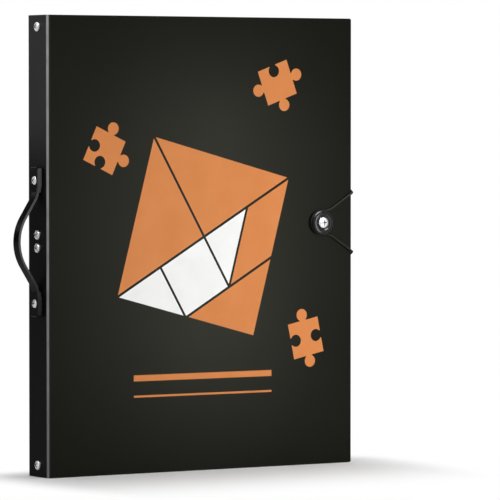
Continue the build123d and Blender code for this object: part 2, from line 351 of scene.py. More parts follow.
soft_lamp("top light", (0.2, -0.95, 1.55), (0.3, 0, 0.24), (0.5, 0.5), 1.2)
soft_lamp(
    "rim light", (0.05, -0.42, 1.45), (0.32, -0.03, 0.24), (1.6, 0.8), 72.0, lights_matt=False
)
soft_lamp("cover glow", (0.50, -0.54, 0.21), (0.175, -0.02, 0.225), (0.12, 0.36), 1.5)
soft_lamp("spine glow", (-0.19, 0.30, 0.405), (0, 0, 0.405), (0.12, 0.17), 0.028, spread=58)
soft_lamp("back fill", (0.8, 2.6, 1.4), (0.2, 0, 0.22), (1.6, 1.6), 12.0)

# %% [markdown]
# ## Small helpers for building pieces
# A finished piece is a plain mesh at the origin, with its place in its vertices. It rides on one
# body of the case, so that it moves with the cover, leaf or spine that carries it.


# %% Piece helpers
def piece_from_mesh(name, mesh, material, body, stands_for=()):
    """Puts a finished mesh into the scene as a piece that rides on a body of the case."""
    piece = new_object(name, mesh)
    mesh.materials.clear()
    mesh.materials.append(material)
    if body:
        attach(piece, body)
    if stands_for:
        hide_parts(*stands_for)
    print(name, "faces:", len(mesh.polygons))
    return piece


def mesh_from_bmesh(name, shape, sharp_degrees=None):
    """Makes a mesh of closed shells, with outward faces and creases only where it is sharp."""
    bmesh.ops.remove_doubles(shape, verts=shape.verts, dist=1e-7)
    bmesh.ops.recalc_face_normals(shape, faces=shape.faces)
    mesh = bpy.data.meshes.new(name)
    shape.to_mesh(mesh)
    shape.free()
    if sharp_degrees is not None:
        for face in mesh.polygons:
            face.use_smooth = True
        mesh.set_sharp_from_angle(angle=radians(sharp_degrees))
    return mesh


# %% [markdown]
# ## Shared effects
# Moulded and extruded plastics share one look: a fine skin grain with slightly uneven gloss. It is
# built once as a node group and placed in each material with its own colours and grain size.


# %% Moulded skin group
def moulded_skin_group():
    group = bpy.data.node_groups.new("moulded skin", "ShaderNodeTree")
    colour, number = "NodeSocketColor", "NodeSocketFloat"
    for name, kind, value in (
        ("Colour", colour, (0.5, 0.5, 0.5, 1)),
        ("Scuffed Colour", colour, (0.6, 0.6, 0.6, 1)),
        ("Grain Per Metre", number, 3000.0),
        ("Patches Per Metre", number, 14.0),
        ("Smooth Roughness", number, 0.4),
        ("Rough Roughness", number, 0.5),
    ):
        add_socket(group, name, kind, "INPUT", value)
    for name, kind in (("Colour", colour), ("Roughness", number), ("Height", number)):
        add_socket(group, name, kind, "OUTPUT")
    make = TreeMaker(group)
    given = make.node("NodeGroupInput").outputs
    place = make.node("ShaderNodeTexCoord").outputs["Object"]
    fine = {"Vector": place, "Scale": given["Grain Per Metre"]}
    broad = {"Vector": place, "Scale": given["Patches Per Metre"]}
    grain = make.node("ShaderNodeTexNoise", {**fine, "Detail": 3.0}).outputs["Fac"]
    cells = make.node("ShaderNodeTexVoronoi", feature="SMOOTH_F1")
    make.plug(cells, fine)
    patches = make.node("ShaderNodeTexNoise", {**broad, "Detail": 4.0}).outputs["Fac"]
    spread = make.ranged(patches, 0.3, 0.7)
    results = {
        "Colour": make.blended(spread, given["Colour"], given["Scuffed Colour"]),
        "Roughness": make.mixed(spread, given["Smooth Roughness"], given["Rough Roughness"]),
        "Height": make.mixed(0.5, grain, cells.outputs["Distance"]),
    }
    make.node("NodeGroupOutput", results)
    return group


moulded_skin = moulded_skin_group()


# %% [markdown]
# ## Plastics
# A Principled shader keeps what is the same all over, such as how strongly the plastic mirrors. The
# group feeds it colour, roughness and the height of a small bump.


# %% Plastic materials
def moulded(make, colour, scuffed, rough, grain, patches):
    """Places the shared skin with its own colours, gloss and grain size."""
    values = {
        "Colour": (*colour, 1),
        "Scuffed Colour": (*scuffed, 1),
        "Grain Per Metre": grain,
        "Patches Per Metre": patches,
        "Smooth Roughness": rough[0],
        "Rough Roughness": rough[1],
    }
    return make.node("ShaderNodeGroup", values, node_tree=moulded_skin).outputs


def add_bump(make, base, height, strength, distance):
    values = {"Height": height, "Strength": strength, "Distance": distance}
    make.plug(base, {"Normal": make.node("ShaderNodeBump", values).outputs["Normal"]})


def skin_plastic(
    name, colour, scuffed, rough, grain, patches, specular, bump_height, tint=(1, 1, 1)
):
    material, make, base = new_material(name)
    skin = moulded(make, colour, scuffed, rough, grain, patches)
    base.inputs["Specular IOR Level"].default_value = specular
    base.inputs["Specular Tint"].default_value = (*tint, 1)
    make.plug(base, {"Base Color": skin["Colour"], "Roughness": skin["Roughness"]})
    add_bump(make, base, skin["Height"], 0.35, bump_height)
    return material


cover_black = skin_plastic(
    "black cover sheet", (0.0024, 0.0025, 0.0016), (0.0034, 0.0035, 0.0023), (0.31, 0.35),
    grain=2600.0, patches=9.0, specular=0.085, bump_height=0.00004, tint=(1, 1, 0.82),
)
spine_black = skin_plastic(
    "black spine sheet", (0.002, 0.002, 0.0018), (0.003, 0.003, 0.0027), (0.36, 0.42),
    grain=2600.0, patches=9.0, specular=0.035, bump_height=0.00004,
)
button_black = skin_plastic(
    "black button", (0.0036, 0.0036, 0.0038), (0.0056, 0.0056, 0.0058), (0.16, 0.22),
    grain=3000.0, patches=60.0, specular=0.3, bump_height=0.00001,
)
rail_white = skin_plastic(
    "white binding rail", (0.72, 0.72, 0.7), (0.64, 0.64, 0.62), (0.4, 0.5),
    grain=1500.0, patches=20.0, specular=0.4, bump_height=0.00003,
)
eyelet_black = skin_plastic(
    "black eyelet enamel", (0.012, 0.012, 0.012), (0.03, 0.03, 0.03), (0.22, 0.34),
    grain=2500.0, patches=90.0, specular=0.6, bump_height=0.00001,
)
leaf_white = skin_plastic(
    "white leaf sheet", (0.88, 0.88, 0.87), (0.85, 0.85, 0.84), (0.5, 0.6),
    grain=300.0, patches=8.0, specular=0.3, bump_height=0.00001,
)


# %% [markdown]
# ## Finishes for the ready-made pieces
# Covers, spine, handle, rails and leaf sheets come from the frame in the right shape. They keep
# their meshes and only get a material.


# %% Dress the ready-made pieces
def dress(material, *names):
    for name in names:
        nodes[name].data.materials.clear()
        nodes[name].data.materials.append(material)


def strap_black():
    """Glossy on its broad faces and rougher on its side faces, with a painted grey highlight on the
    side faces that is painted strongest at the upper end.
    """
    material, make, base = new_material("black handle strap")
    base.inputs["Specular IOR Level"].default_value = 0.035
    blacks = (0.0014, 0.0014, 0.0014), (0.0022, 0.0022, 0.0022)
    skin = moulded(make, *blacks, (0.26, 0.32), 1800.0, 30.0)
    place = make.node("ShaderNodeTexCoord").outputs
    # Painted highlight: side faces turned along Y get a grey colour, painted stronger higher up, as
    # light from above would fall.
    sideways = make.maths("ABSOLUTE", make.split(place["Normal"])["Y"])
    side_faces = make.ranged(sideways, 0.55, 0.85)
    upper = make.ranged(make.split(place["Object"])["Z"], 0.16, 0.27, low=0.25)
    paled = make.maths("MULTIPLY", side_faces, upper)
    colour = make.blended(paled, skin["Colour"], (0.13, 0.13, 0.128, 1))
    rough = make.mixed(side_faces, skin["Roughness"], 0.6)
    make.plug(base, {"Base Color": colour, "Roughness": rough})
    add_bump(make, base, skin["Height"], 0.35, 0.00002)
    return material


handle_finish = strap_black()
leaf_bodies = sorted(name for name in frame["bodies"] if name.startswith("leaf_"))
dress(cover_black, "front_cover", "back_cover")
dress(spine_black, "spine_panel")
dress(handle_finish, "carry_handle")
dress(button_black, "button_neck")
dress(rail_white, "lower_binding_rail", "upper_binding_rail")
dress(leaf_white, *[leaf + "_backing" for leaf in leaf_bodies])
print("leaves dressed:", len(leaf_bodies))

# %% [markdown]
# ## Clear pocket film
# Each leaf carries two films, thinner than a fingernail. Film this thin bends no light, so it needs
# no glass shader: a mostly transparent surface with a sharp gloss reads as film. Long soft waves in
# its bump give the streaks of a sheet that was welded along its edges.


# %% Pocket film
def clear_film():
    material, make, base = new_material("clear pocket film")
    base.inputs["Base Color"].default_value = (0.95, 0.96, 0.97, 1)
    base.inputs["Roughness"].default_value = 0.1
    base.inputs["Specular IOR Level"].default_value = 0.6
    place = make.node("ShaderNodeTexCoord").outputs["Object"]
    stretch = make.node("ShaderNodeMapping", {"Vector": place, "Scale": (2.0, 2.0, 0.7)})
    long_waves = {"Vector": stretch.outputs[0], "Scale": 7.0, "Detail": 1.0}
    waves = make.node("ShaderNodeTexNoise", long_waves).outputs["Fac"]
    make.plug(base, {"Alpha": make.ranged(waves, low=0.03, high=0.1)})
    add_bump(make, base, waves, 0.4, 0.002)
    return material


pocket_film = clear_film()
dress(pocket_film, *[leaf + "_pockets" for leaf in leaf_bodies])

# %% [markdown]
# ## Bright zinc steel
# Screws and nuts are small, so they need contrast to read as metal: a bright base, a gloss that
# changes within a millimetre, and painted shade down in the cross recess, a dark, dull colour that
# stands in for the shade there. The recess has a mask of its own, which the screw tree below stores
# on its faces. A piece without that mask has no painted shade.


# %% Steel
def zinc_steel_material():
    material, make, base = new_material("bright zinc steel")
    place = make.node("ShaderNodeTexCoord").outputs["Object"]
    small_spots = {"Vector": place, "Scale": 420.0, "Detail": 4.0}
    spots = make.node("ShaderNodeTexNoise", small_spots).outputs["Fac"]
    recess = make.node("ShaderNodeAttribute", attribute_name="recess").outputs["Fac"]
    unshaded_steel = make.blended(spots, (0.96, 0.96, 0.95, 1), (0.8, 0.81, 0.82, 1))
    unshaded_roughness = make.ranged(spots, low=0.32, high=0.46)
    # Painted shade: the recess mask turns the steel dark, dull and less metallic in the cross
    # recess.
    looks = {
        "Base Color": make.blended(recess, unshaded_steel, (0.07, 0.069, 0.067, 1)),
        "Roughness": make.mixed(recess, unshaded_roughness, 0.75),
        "Metallic": make.ranged(recess, low=0.7, high=0.2),
    }
    make.plug(base, looks)
    add_bump(make, base, spots, 0.4, 0.00003)
    return material


zinc_steel = zinc_steel_material()
dress(zinc_steel, "spine_screw_nuts", "handle_screw_nuts", "button_nut", "cord_end_clips")

# %% [markdown]
# ## Elastic cord
# The cord is round braided elastic, 2 mm thick, pulled tight: out of one eyelet, round both fore
# edges, round the button's neck and back again. A NURBS spline gives its line, and a tube follows
# that line with a UV map of its own, so that the braid runs along it and not through it.

# %% Cord's line
cord_diameter = 2.0 * MM
cord_route = [
    (0.3325, 0.0158, 0.3070),
    (0.3325, 0.0212, 0.3070),
    (0.3346, 0.0222, 0.3060),
    (0.3507, 0.0217, 0.2973),
    (0.3521, 0.0203, 0.2962),
    (0.3521, -0.0203, 0.2745),
    (0.3507, -0.0217, 0.2734),
    (0.3329, -0.0215, 0.2622),
    (0.3226, -0.0214, 0.2557),
    (0.3068, -0.0214, 0.2556),
    (0.3001, -0.0214, 0.2440),
    (0.3068, -0.0214, 0.2324),
    (0.3226, -0.0214, 0.2323),
    (0.3329, -0.0215, 0.2258),
    (0.3507, -0.0217, 0.2146),
    (0.3521, -0.0203, 0.2135),
    (0.3521, 0.0203, 0.1918),
    (0.3507, 0.0217, 0.1907),
    (0.3346, 0.0222, 0.1820),
    (0.3325, 0.0212, 0.1810),
    (0.3325, 0.0158, 0.1810),
]


def spline_points(name, route, resolution):
    curve = bpy.data.curves.new(name, "CURVE")
    curve.dimensions = "3D"
    spline = curve.splines.new("NURBS")
    spline.points.add(len(route) - 1)
    for point, place in zip(spline.points, route):
        point.co = (*place, 1.0)
    spline.order_u = 3
    spline.use_endpoint_u = True
    spline.resolution_u = resolution
    holder = new_object(name, curve)
    bpy.context.view_layer.update()
    ready = holder.evaluated_get(bpy.context.evaluated_depsgraph_get())
    line = bpy.data.meshes.new_from_object(ready)
    points = [vert.co.copy() for vert in line.vertices]
    bpy.data.objects.remove(holder)
    return points


cord_line = spline_points("cord_line", cord_route, 12)
cord_length = sum((b - a).length for a, b in zip(cord_line, cord_line[1:]))
print("elastic cord, mm:", round(cord_length / MM, 1), "points:", len(cord_line))


# %% Tube along a line
def tube_along(name, points, radius, sides=14):
    """A round tube that follows the points, with u in metres along it and v once round it."""
    shape = bmesh.new()
    layer = shape.loops.layers.uv.new("along the cord")
    rings, lengths, far = [], [], 0.0
    up = Vector((0, 0, 1))
    for index, point in enumerate(points):
        before = points[max(index - 1, 0)]
        after = points[min(index + 1, len(points) - 1)]
        ahead = (after - before).normalized()
        up = (up - ahead * up.dot(ahead)).normalized()
        side = ahead.cross(up)
        ring = []
        for k in range(sides):
            angle = 2 * pi * k / sides
            ring.append(shape.verts.new(point + radius * (cos(angle) * up + sin(angle) * side)))
        if index:
            far += (point - points[index - 1]).length
        rings.append(ring)
        lengths.append(far)
    for index in range(len(points) - 1):
        here, there = rings[index], rings[index + 1]
        for k in range(sides):
            n = (k + 1) % sides
            face = shape.faces.new((here[k], here[n], there[n], there[k]))
            around = (k / sides, (k + 1) / sides, (k + 1) / sides, k / sides)
            along = (lengths[index], lengths[index], lengths[index + 1], lengths[index + 1])
            for loop, u, v in zip(face.loops, along, around):
                loop[layer].uv = (u, v)
    for ring in (rings[0], rings[-1]):
        shape.faces.new(ring)
    return mesh_from_bmesh(name, shape, 60)


# %% Braid
threads_round = 4
thread_pitch = 0.9 * MM


def braid_material():
    """Two sets of threads wind round the cord in opposite ways, and the upper one shows."""
    material, make, base = new_material("grey braided elastic")
    base.inputs["Specular IOR Level"].default_value = 0.12
    layer = make.node("ShaderNodeUVMap", uv_map="along the cord").outputs["UV"]
    place = make.split(layer)
    threads = []
    for lean in (1.0, -1.0):
        around = make.maths("MULTIPLY", place["Y"], lean * threads_round * 2 * pi)
        phase = {0: place["X"], 1: 2 * pi / thread_pitch, 2: around}
        slant = make.node("ShaderNodeMath", phase, operation="MULTIPLY_ADD").outputs[0]
        threads.append(make.maths("SINE", slant))
    weave = make.maths("MAXIMUM", *threads)
    ramp = make.node("ShaderNodeValToRGB", {"Fac": weave})
    ramp.color_ramp.elements[0].color = (0.004, 0.004, 0.0037, 1)
    ramp.color_ramp.elements[1].color = (0.03, 0.03, 0.027, 1)
    rough = make.ranged(weave, low=0.85, high=0.6)
    make.plug(base, {"Base Color": ramp.outputs["Color"], "Roughness": rough})
    add_bump(make, base, weave, 0.7, 0.0001)
    return material


braid = braid_material()
cord_mesh = tube_along("elastic_loop", cord_line, cord_diameter / 2)
cord_piece = piece_from_mesh(
    "elastic_loop", cord_mesh, braid, "back", ("elastic_cord",)
)
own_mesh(cord_piece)

# %% [markdown]
# ## The two folds
# The sheet is thinned along each fold, and each bend has a pale band. On the back fold it is faint.
# On the front fold it is a painted highlight, standing in for the light that the rounded bend
# catches, and it is painted lighter towards the top.

# %% Fold's finish
fold_radius = 3.0 * MM
fold_web = 1.0 * MM


def fold_material(name, pale):
    """The bend's UV map says how far round and how high a point lies. A ramp pales its middle as a
    painted highlight, painted lighter higher up.
    """
    material, make, base = new_material(name)
    base.inputs["Specular IOR Level"].default_value = 0.15
    layer = make.node("ShaderNodeUVMap", uv_map="round the bend").outputs["UV"]
    place = make.split(layer)
    ramp = make.node("ShaderNodeValToRGB", {"Fac": place["X"]})
    band = ramp.color_ramp.elements
    band[1].position = 0.72
    for stop in band:
        stop.color = (0.0045, 0.0046, 0.0037, 1)
    # These stops paint a pale highlight band along the middle of the bend.
    for position in (0.17, 0.6):
        band.new(position).color = (pale, pale, pale * 0.98, 1)
    skin = moulded(make, (1, 1, 1), (0.7, 0.7, 0.7), (0.42, 0.52), 2600.0, 60.0)
    # Painted light from above: the band is painted lighter towards the top of the fold.
    painted_top_light = make.ranged(place["Y"], low=0.62, high=1.5)
    faded = {0: ramp.outputs["Color"], "Scale": painted_top_light}
    fade = make.node("ShaderNodeVectorMath", faded, operation="SCALE").outputs["Vector"]
    shade = make.blended(1.0, fade, skin["Colour"], blend_type="MULTIPLY")
    make.plug(base, {"Base Color": shade, "Roughness": skin["Roughness"]})
    add_bump(make, base, skin["Height"], 0.35, 0.00004)
    return material


# The front fold's pale band is a painted highlight; the back fold's band is faint.
front_fold_finish = fold_material("front fold, painted highlight", 0.3)
back_fold_finish = fold_material("back fold", 0.02)


# %% Curved webs
def folded_web(name, side, node, finish, steps=14, levels=12):
    """A rounded strip from the spine to a cover: side -1 is the front one, side 1 the back one."""
    middle = Vector((spine_face + fold_radius, side * (back_face - fold_radius), 0))
    shape = bmesh.new()
    layer = shape.loops.layers.uv.new("round the bend")
    grid = {}
    for level in range(levels + 1):
        height = case_height * level / levels
        for step in range(steps + 1):
            turn = pi / 2 * step / steps
            for wall, reach in enumerate((fold_radius, fold_radius - fold_web)):
                place = middle + Vector((-reach * cos(turn), side * reach * sin(turn), height))
                grid[wall, level, step] = shape.verts.new(place)

    def face(*corners):
        made = shape.faces.new([grid[corner] for corner in corners])
        for loop, corner in zip(made.loops, corners):
            loop[layer].uv = (corner[2] / steps, corner[1] / levels)

    for level in range(levels):
        up = level + 1
        for step in range(steps):
            on = step + 1
            for wall in (0, 1):
                face((wall, level, step), (wall, level, on), (wall, up, on), (wall, up, step))
        for step in (0, steps):
            face((0, level, step), (1, level, step), (1, up, step), (0, up, step))
    for level in (0, levels):
        for step in range(steps):
            on = step + 1
            face((0, level, step), (0, level, on), (1, level, on), (1, level, step))
    mesh = mesh_from_bmesh(name, shape, 40)
    piece = piece_from_mesh(name, mesh, finish, None, (node,))
    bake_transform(piece)


folded_web("front_fold_web", -1, "front_fold", front_fold_finish)
folded_web("back_fold_web", 1, "back_fold", back_fold_finish)

# %% [markdown]
# ## Screws, made once and placed by nodes
# The seven screws are alike: a domed head with a tapered cross recess, on a plain shank. A node
# tree cuts one head out of a ball with booleans and puts a copy at each seat. Each copy gets a
# seeded random turn about its own axis, because nobody lines up the crosses by hand.


# %% Tree with named inputs
def geometry_tree(name, sizes, result):
    """A tree with named inputs: sizes are (name, socket type, first value)."""
    tree = bpy.data.node_groups.new(name, "GeometryNodeTree")
    for label, kind, value in sizes:
        add_socket(tree, label, kind, "INPUT", value)
    add_socket(tree, result, "NodeSocketGeometry", "OUTPUT")
    enter, leave = tree.nodes.new("NodeGroupInput"), tree.nodes.new("NodeGroupOutput")
    return tree, TreeMaker(tree), enter, leave


# %% Screw tree
def screw_tree_with_recess():
    size = "NodeSocketFloat"
    tree, make, enter, leave = geometry_tree(
        "seated screws",
        [
            ("Seats", "NodeSocketGeometry", None),
            ("Head Radius", size, 4.4 * MM),
            ("Head Height", size, 3.2 * MM),
            ("Rim Height", size, 1.1 * MM),
            ("Shank Radius", size, 2.0 * MM),
            ("Shank Length", size, 8.2 * MM),
            ("Recess Length", size, 7.0 * MM),
            ("Recess Width", size, 1.1 * MM),
            ("Recess Depth", size, 1.4 * MM),
            ("Facing", "NodeSocketVector", (-1.0, 0.0, 0.0)),
            ("Seed", "NodeSocketInt", 7),
            ("Finish", "NodeSocketMaterial", None),
        ],
        "Screws",
    )
    given = enter.outputs
    maths, moved, vector = make.maths, make.moved, make.vector
    radius, height, deep = given["Head Radius"], given["Head Height"], given["Recess Depth"]
    # A ball of radius R stands c above its rim where R = (r * r + c * c) / 2c
    crown = maths("SUBTRACT", height, given["Rim Height"])
    squares = maths("ADD", maths("POWER", radius, 2.0), maths("POWER", crown, 2.0))
    ball_radius = maths("DIVIDE", squares, maths("MULTIPLY", crown, 2.0))
    ball_values = {"Segments": 72, "Rings": 96, "Radius": ball_radius}
    ball = make.node("GeometryNodeMeshUVSphere", ball_values).outputs[0]
    ball_middle = maths("SUBTRACT", height, ball_radius)
    dome = moved(ball, vector(z=ball_middle))
    drum = make.cylinder(56, radius, height)
    blank = moved(drum, vector(z=maths("MULTIPLY", height, 0.5)))
    head = make.boolean("INTERSECT", (dome, blank))
    # One wing of the recess is a four-sided cone frustum, stretched along one axis
    taper, clear_of_dome = 0.45, 0.02 * MM
    wide = maths("MULTIPLY", given["Recess Length"], 0.5 * 2**0.5)
    tip = maths("MULTIPLY", wide, taper)
    wing_values = {"Vertices": 4, "Radius Top": wide, "Radius Bottom": tip, "Depth": deep}
    wing = make.node("GeometryNodeMeshCone", wing_values).outputs[0]
    square = moved(wing, turn=(0.0, 0.0, radians(45)))
    narrow = maths("DIVIDE", given["Recess Width"], given["Recess Length"])
    floor_z = maths("SUBTRACT", height, deep)
    sunk = vector(z=maths("ADD", floor_z, clear_of_dome))
    wings = [
        moved(square, offset=sunk, scale=vector(narrow, 1.0, 1.0)),
        moved(square, offset=sunk, scale=vector(1.0, narrow, 1.0)),
    ]
    cut = make.boolean("DIFFERENCE", wings, cut_from=head)
    overlap = 0.3 * MM
    length = given["Shank Length"]
    middle = maths("ADD", maths("MULTIPLY", length, -0.5), overlap)
    rod = make.cylinder(24, given["Shank Radius"], length)
    screw = make.boolean("UNION", (cut, moved(rod, vector(z=middle))))
    seeded = {3: 2 * pi, "Seed": given["Seed"]}
    spin = make.node("FunctionNodeRandomValue", seeded, data_type="FLOAT").outputs[1]
    own_turn = make.node("FunctionNodeAxisAngleToRotation", {"Angle": spin})
    own_turn.inputs["Axis"].default_value = (0.0, 0.0, 1.0)
    facing = {"Vector": given["Facing"]}
    outwards = make.node("FunctionNodeAlignRotationToVector", facing, axis="Z").outputs[0]
    both_turns = {0: outwards, 1: own_turn.outputs[0]}
    turn = make.node("FunctionNodeRotateRotation", both_turns, rotation_space="LOCAL").outputs[0]
    # Faces near the middle that lie below the dome or turn away from it are the recess
    turned_away, sunk_below, reach_share = 0.85, 0.12 * MM, 0.56
    position = make.node("GeometryNodeInputPosition").outputs[0]
    x, y, z = make.split(position)
    outward = make.vector_maths("SUBTRACT", position, vector(z=ball_middle))["Vector"]
    unit = make.vector_maths("NORMALIZE", outward)["Vector"]
    normal = make.node("GeometryNodeInputNormal").outputs[0]
    along = make.vector_maths("DOT_PRODUCT", unit, normal)["Value"]
    away = maths("LESS_THAN", along, turned_away)
    out_squared = maths("ADD", maths("POWER", x, 2.0), maths("POWER", y, 2.0))
    ball_squared = maths("POWER", ball_radius, 2.0)
    rise = maths("SQRT", maths("SUBTRACT", ball_squared, out_squared))
    dome_z = maths("ADD", rise, ball_middle)
    below = maths("GREATER_THAN", maths("SUBTRACT", dome_z, z), sunk_below)
    reach = maths("MULTIPLY", given["Recess Length"], reach_share)
    inside = maths("LESS_THAN", out_squared, maths("POWER", reach, 2.0))
    # This mask marks where the steel paints shade into the recess.
    mask = maths("MULTIPLY", maths("MAXIMUM", below, away), inside)
    masked = make.node(
        "GeometryNodeStoreNamedAttribute", {"Geometry": screw, "Name": "recess", "Value": mask},
        data_type="FLOAT", domain="FACE",
    )
    placed = make.node(
        "GeometryNodeInstanceOnPoints",
        {"Points": given["Seats"], "Instance": masked.outputs[0], "Rotation": turn},
    )
    make.finished(placed.outputs[0], given["Finish"], leave, "Screws")
    return tree


screw_tree = screw_tree_with_recess()
print("screw tree nodes:", len(screw_tree.nodes))


# %% Run a tree and keep its result as a plain mesh
def result_of_tree(name, start_mesh, tree, values, sharp_degrees):
    """Sets the modifier's inputs by identifier, evaluates once and keeps the mesh."""
    holder = new_object(name + "_maker", start_mesh)
    modifier = holder.modifiers.new("maker", "NODES")
    modifier.node_group = tree
    for item in tree.interface.items_tree:
        if item.item_type == "SOCKET" and item.in_out == "INPUT" and item.name in values:
            modifier[item.identifier] = values[item.name]
    bpy.context.view_layer.update()
    ready = holder.evaluated_get(bpy.context.evaluated_depsgraph_get())
    made = bpy.data.meshes.new_from_object(ready)
    holder.modifiers.remove(modifier)
    bpy.data.objects.remove(holder)
    shape = bmesh.new()
    shape.from_mesh(made)
    bpy.data.meshes.remove(made)
    return mesh_from_bmesh(name, shape, sharp_degrees)


# %% [markdown]
# ## Seating the screws
# The spine's four screws sit on its face. The handle's two sit in round pockets of its lugs, and
# the button's one sits in its dish. A seat is the middle of the head's flat underside. The solids'
# heads tell where it is.

# %% Screws on the spine, the handle and the button
solid_head_height = 2.0 * MM
solid_button_head = 1.8 * MM
spine_screw_heights = [11.5 * MM, 223.3 * MM, 236.1 * MM, 438.5 * MM]
handle_screw_heights = [169.3 * MM, 289.3 * MM]
spine_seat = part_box("spine_screws")[0].x + solid_head_height
handle_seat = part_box("handle_screws")[0].x + solid_head_height


def seated_screws(name, node, body, seats, **values):
    values = {key.replace("_", " "): value for key, value in values.items()}
    values["Finish"] = zinc_steel
    mesh = result_of_tree(name, new_mesh(name + "_seats", seats), screw_tree, values, 30)
    return piece_from_mesh(name, mesh, zinc_steel, body, (node,))


seated_screws(
    "spine_screw_set", "spine_screws", "spine", [(spine_seat, 0, z) for z in spine_screw_heights],
    Seed=3,
)
seated_screws(
    "handle_screw_set", "handle_screws", "spine",
    [(handle_seat, 0, z) for z in handle_screw_heights], Seed=12, Shank_Length=9.6 * MM,
    Head_Height=4.4 * MM, Rim_Height=2.3 * MM,
)
button_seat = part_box("button_screw")[0].y + solid_button_head
seated_screws(
    "button_centre_screw", "button_screw", "front",
    [(button_middle.x, button_seat, button_middle.z)], Seed=5,
    Facing=(0.0, -1.0, 0.0), Head_Radius=5.2 * MM, Head_Height=2.4 * MM, Rim_Height=0.7 * MM,
    Shank_Length=9.4 * MM, Recess_Length=8.4 * MM, Recess_Width=1.3 * MM, Recess_Depth=1.2 * MM,
)

# %% [markdown]
# ## Turned pieces
# The button and the eyelets are round, so each is half an outline turned about its axis. The
# button has a full, rounded rim, a shallow dish and a groove round its screw, which reads as a
# black ring. The eyelets are thin tubes whose ends were rolled over into a lip.


# %% Turning helper
def turned(shape, outline, place, way, steps):
    """Turns a closed outline of (radius, height) pairs about a line along Y through place."""
    rings = []
    for step in range(steps):
        angle = 2 * pi * step / steps
        across, up = cos(angle), sin(angle)
        rings.append([
            shape.verts.new((place[0] + r * across, place[1] + way * h, place[2] + r * up))
            for r, h in outline
        ])
    for step in range(steps):
        here, there = rings[step], rings[(step + 1) % steps]
        for k in range(len(outline)):
            n = (k + 1) % len(outline)
            shape.faces.new((here[k], here[n], there[n], there[k]))


def arc(middle, radius, start, end, count):
    """Points on an arc, with its angles in degrees."""
    angles = [radians(start + (end - start) * i / count) for i in range(count + 1)]
    return [(middle[0] + radius * cos(a), middle[1] + radius * sin(a)) for a in angles]


# %% Button
button_radius = (button_high.x - button_low.x) / 2
button_thick = button_high.y - button_low.y
dish_height = button_high.y - button_seat
button_sizes = (button_radius, button_thick, dish_height)
print("button, mm:", *[round(size / MM, 2) for size in button_sizes])


def button_outline():
    """From the bore along the flat underside, over the rim, down into the dish and the groove."""
    round_rim, side, bore, screw_edge = 3.8 * MM, 1.4 * MM, 2.15 * MM, 5.2 * MM
    groove, depth, dish_run = 0.8 * MM, 1.0 * MM, 1.9 * MM
    outline = [(bore, 0.0), (button_radius - 1.0 * MM, 0.0), (button_radius - 0.3 * MM, 0.25 * MM)]
    for step in range(19):
        angle = radians(-8 + 98 * step / 18)
        out = button_radius - round_rim * (1 - cos(angle))
        outline.append((out, side + (button_thick - side) * sin(angle)))
    top = outline[-1]
    for share in (0.2, 0.4, 0.6, 0.8, 1.0):
        fall = (1 - cos(pi * share)) / 2
        outline.append((top[0] - dish_run * share, top[1] - fall * (top[1] - dish_height)))
    outline += [
        (screw_edge + groove, dish_height),
        (screw_edge + groove * 0.85, dish_height - depth),
        (screw_edge - 0.6 * MM, dish_height - depth),
        (screw_edge - 0.6 * MM, dish_height),
        (bore, dish_height),
    ]
    return outline


button_shape = bmesh.new()
button_foot = (button_middle.x, button_high.y, button_middle.z)
turned(button_shape, button_outline(), button_foot, -1, 96)
piece_from_mesh(
    "button_disc", mesh_from_bmesh("button_disc", button_shape, 35), button_black, "front",
    ("closure_button",),
)


# %% Rolled eyelets
def eyelet_outline(thick, lip, outer, bore=1.5 * MM, wall=0.4 * MM, roll=0.25 * MM):
    outline = [(bore, 0.0), (bore, thick - roll)]
    outline += arc((bore + roll, thick - roll), roll, 150, 90, 4)
    outline += arc((outer - roll, thick - roll), roll, 90, -75, 9)
    outline += [(bore + wall, thick - lip), (bore + wall, 0.0)]
    return outline


eyelet_low, eyelet_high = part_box("cord_eyelets")
eyelet_outer = (eyelet_high.x - eyelet_low.x) / 2
eyelet_thick = eyelet_high.y - eyelet_low.y
eyelet_shape = bmesh.new()
for height in (eyelet_low.z + eyelet_outer, eyelet_high.z - eyelet_outer):
    turned(
        eyelet_shape, eyelet_outline(eyelet_thick, eyelet_high.y - back_face, eyelet_outer),
        ((eyelet_low.x + eyelet_high.x) / 2, eyelet_low.y, height), 1, 40,
    )
piece_from_mesh(
    "rolled_eyelets", mesh_from_bmesh("rolled_eyelets", eyelet_shape, 35), eyelet_black, "back",
    ("cord_eyelets",),
)

# %% [markdown]
# ## Welds on the leaves
# Each clear film is welded to its sheet along three sides, which leaves a raised bead, and the
# white margin beside the spine has a row of thin curved press marks. One tree makes both for a leaf
# from the corners of its pocket, and mirrors them to the leaf's other face.


